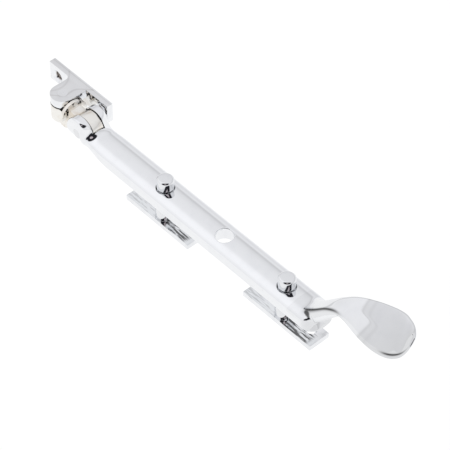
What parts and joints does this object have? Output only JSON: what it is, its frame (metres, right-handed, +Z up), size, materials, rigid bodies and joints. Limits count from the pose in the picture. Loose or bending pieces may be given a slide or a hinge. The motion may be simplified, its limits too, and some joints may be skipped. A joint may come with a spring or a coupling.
{
  "type": "casement window stay",
  "caption": "Chromed casement stay: a domed bar with peg holes and a twisted spoon handle, hinged and swivelling on a sash bracket, resting on round-headed pegs on screw plates.",
  "frame": {"origin": "centre of the sash plate's back face, where it lies on the sash rail", "axes": "+X along the arm from the swivel to the spoon, +Y towards the sash, +Z up"},
  "size_m": [0.2553, 0.0217, 0.0463],
  "materials": {
    "chrome_casting": "polished",
    "chrome_turned": "polished",
    "chrome_plate": "polished",
    "rivet_steel": "peened"
  },
  "bodies": {
    "arm": {"stay_arm": "chrome_casting", "hinge_pin": "rivet_steel"},
    "knuckle": {"swivel_knuckle": "chrome_casting"},
    "bracket": {"sash_bracket": "chrome_casting", "swivel_pin": "rivet_steel"},
    "stay_pin_1": {"pin_plate_1": "chrome_plate", "stay_peg_1": "chrome_turned"},
    "stay_pin_2": {"pin_plate_2": "chrome_plate", "stay_peg_2": "chrome_turned"}
  },
  "joints": [
    {"name": "arm_lift", "type": "hinge", "parent": "arm", "child": "knuckle", "pos_m": [0.0198, -0.0132, -0.00295], "axis": [0, 1, 0], "range_deg": [0, 90]},
    {"name": "arm_swing", "type": "hinge", "parent": "knuckle", "child": "bracket", "pos_m": [0, -0.0132, 0], "axis": [0, 0, 1], "range_deg": [0, 120]},
    {"name": "peg_1_release", "type": "slide", "parent": "arm", "child": "stay_pin_1", "axis": [0, 0, -1], "range_m": [0, 0.03]},
    {"name": "peg_2_release", "type": "slide", "parent": "arm", "child": "stay_pin_2", "axis": [0, 0, -1], "range_m": [0, 0.03]}
  ]
}
